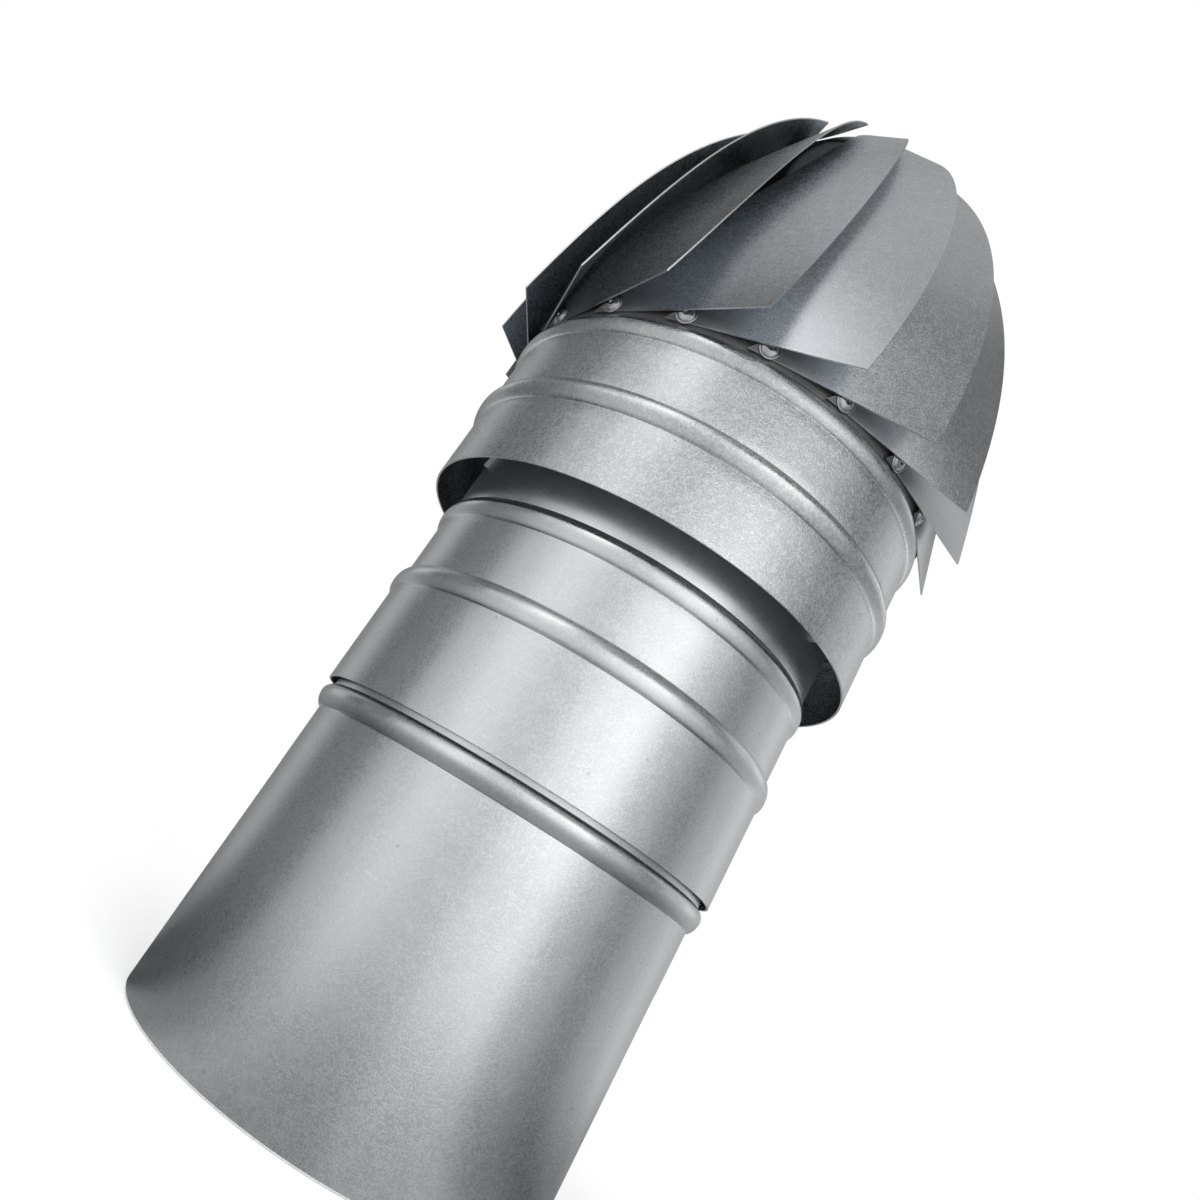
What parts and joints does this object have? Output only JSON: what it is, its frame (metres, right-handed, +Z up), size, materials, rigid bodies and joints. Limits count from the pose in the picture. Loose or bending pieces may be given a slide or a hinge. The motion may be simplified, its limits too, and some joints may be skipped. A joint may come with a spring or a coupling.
{
  "type": "roof turbine ventilator",
  "caption": "Wind-driven roof ventilator in galvanised sheet steel: duct pipe, beaded neck and a turning head of curved blades riveted to a skirt.",
  "frame": {"origin": "centre of the duct pipe's lower end", "axes": "+Z up along the axis of rotation, out of the roof; the first blade's tip lies between -X and -Y"},
  "size_m": [0.2098, 0.2098, 0.4308],
  "materials": {
    "galvanised_duct": "satin",
    "blade_sheet": "satin",
    "rivet_steel": "polished",
    "plated_steel": "satin",
    "turned_steel": "satin",
    "bearing_steel": "polished",
    "cap_aluminium": "satin",
    "black_rubber": "matte"
  },
  "bodies": {
    "stator": {"bearing_bridge": "galvanised_duct", "bridge_nut_lower": "plated_steel", "bridge_nut_upper": "plated_steel", "bridge_rivets": "rivet_steel", "bridge_washers": "plated_steel", "duct_pipe": "galvanised_duct", "inner_washers": "plated_steel", "lock_nut": "plated_steel", "lower_bearing_inner": "bearing_steel", "neck_sleeve": "galvanised_duct", "pipe_seal": "black_rubber", "sleeve_rivets": "rivet_steel", "spacer_tube": "turned_steel", "spindle": "turned_steel", "upper_bearing_inner": "bearing_steel"},
    "rotor": {"rotor_skirt": "galvanised_duct", "blade_01": "blade_sheet", "blade_02": "blade_sheet", "blade_03": "blade_sheet", "blade_04": "blade_sheet", "blade_05": "blade_sheet", "blade_06": "blade_sheet", "blade_07": "blade_sheet", "blade_08": "blade_sheet", "blade_09": "blade_sheet", "blade_10": "blade_sheet", "blade_11": "blade_sheet", "blade_12": "blade_sheet", "blade_13": "blade_sheet", "blade_14": "blade_sheet", "blade_15": "blade_sheet", "blade_16": "blade_sheet", "blade_17": "blade_sheet", "blade_18": "blade_sheet", "collar_rivets": "rivet_steel", "crown_plate": "blade_sheet", "hub_tube": "turned_steel", "hub_rivets": "rivet_steel", "lower_bearing_outer": "bearing_steel", "upper_bearing_outer": "bearing_steel", "hub_cap": "cap_aluminium"}
  },
  "joints": [
    {"name": "rotor_spin", "type": "hinge", "parent": "stator", "child": "rotor", "pos_m": [0, 0, 0.24], "axis": [0, 0, 1], "continuous": true}
  ]
}
